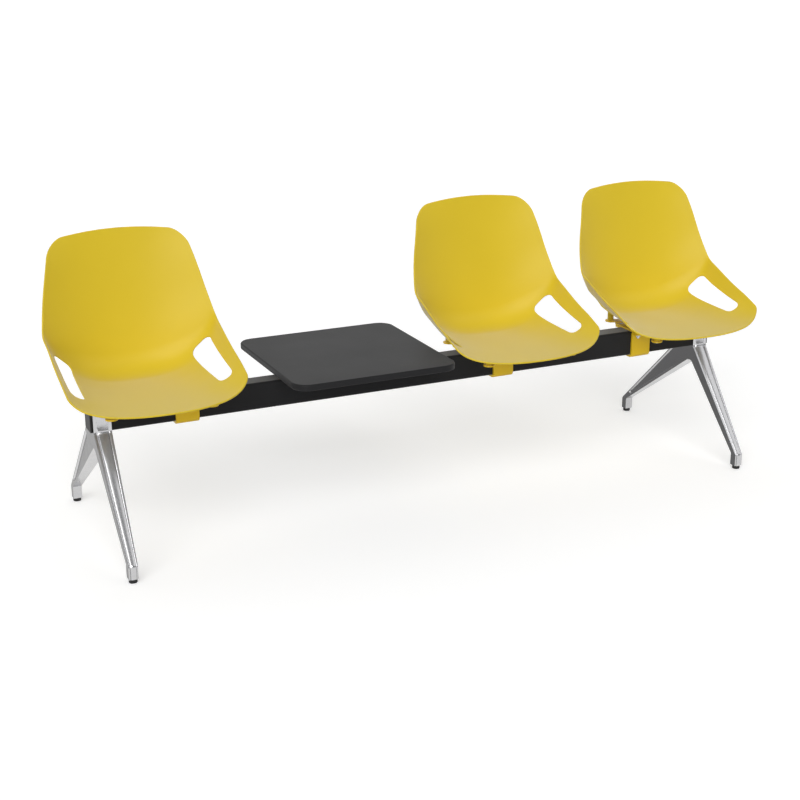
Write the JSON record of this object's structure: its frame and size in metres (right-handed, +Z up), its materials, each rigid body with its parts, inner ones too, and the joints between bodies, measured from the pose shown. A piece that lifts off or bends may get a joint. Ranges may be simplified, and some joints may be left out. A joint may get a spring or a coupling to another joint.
{
  "type": "beam seating",
  "caption": "Moulded armchair shells and a small square table on one steel beam, carried by two cast inverted-V legs with levelling feet.",
  "frame": {"origin": "middle of the foot print of the four feet, on the floor", "axes": "+X along the beam to the right as a sitter faces away from it, seats face -Y, +Z up"},
  "size_m": [2.2355, 0.661, 0.8577],
  "materials": {
    "yellow_plastic": "satin moulded polypropylene with a fine grain",
    "yellow_coat": "satin powder coat",
    "black_coat": "fine textured powder coat",
    "black_plastic": "matt moulded plastic",
    "polished_aluminium": "polished casting",
    "zinc_steel": "bright zinc plate",
    "brass": "turned and knurled",
    "grey_plastic": "matt moulded plastic with a fine grain"
  },
  "bodies": {
    "frame": {"beam": "black_coat", "beam_strap_inner": "yellow_coat", "beam_strap_left": "yellow_coat", "beam_strap_right": "yellow_coat", "bracket_bolts": "zinc_steel", "bracket_nut_plate": "zinc_steel", "end_cap_left": "black_plastic", "end_cap_right": "black_plastic", "leg_bolts_left": "zinc_steel", "leg_bolts_right": "zinc_steel", "leg_left": "polished_aluminium", "leg_nut_plate_left": "zinc_steel", "leg_nut_plate_right": "zinc_steel", "leg_right": "polished_aluminium", "seat_carrier_inner": "yellow_coat", "seat_carrier_left": "yellow_coat", "seat_carrier_right": "yellow_coat", "seat_inserts_inner": "brass", "seat_inserts_left": "brass", "seat_inserts_right": "brass", "seat_screws_inner": "zinc_steel", "seat_screws_left": "zinc_steel", "seat_screws_right": "zinc_steel", "seat_shell_inner": "yellow_plastic", "seat_shell_left": "yellow_plastic", "seat_shell_right": "yellow_plastic", "strap_nuts_inner": "zinc_steel", "strap_nuts_left": "zinc_steel", "strap_nuts_right": "zinc_steel", "strap_studs_inner": "zinc_steel", "strap_studs_left": "zinc_steel", "strap_studs_right": "zinc_steel", "table_bracket": "black_coat", "table_screws": "zinc_steel", "table_top": "grey_plastic"},
    "foot_front_left": {"glide_pad_front_left": "black_plastic", "glide_stem_front_left": "zinc_steel"},
    "foot_front_right": {"glide_pad_front_right": "black_plastic", "glide_stem_front_right": "zinc_steel"},
    "foot_rear_left": {"glide_pad_rear_left": "black_plastic", "glide_stem_rear_left": "zinc_steel"},
    "foot_rear_right": {"glide_pad_rear_right": "black_plastic", "glide_stem_rear_right": "zinc_steel"}
  },
  "joints": [
    {"name": "foot_front_left_screw_out", "type": "slide", "parent": "frame", "child": "foot_front_left", "axis": [0, 0, -1], "range_m": [0, 0.008]},
    {"name": "foot_front_right_screw_out", "type": "slide", "parent": "frame", "child": "foot_front_right", "axis": [0, 0, -1], "range_m": [0, 0.008]},
    {"name": "foot_rear_left_screw_out", "type": "slide", "parent": "frame", "child": "foot_rear_left", "axis": [0, 0, -1], "range_m": [0, 0.008]},
    {"name": "foot_rear_right_screw_out", "type": "slide", "parent": "frame", "child": "foot_rear_right", "axis": [0, 0, -1], "range_m": [0, 0.008]}
  ]
}
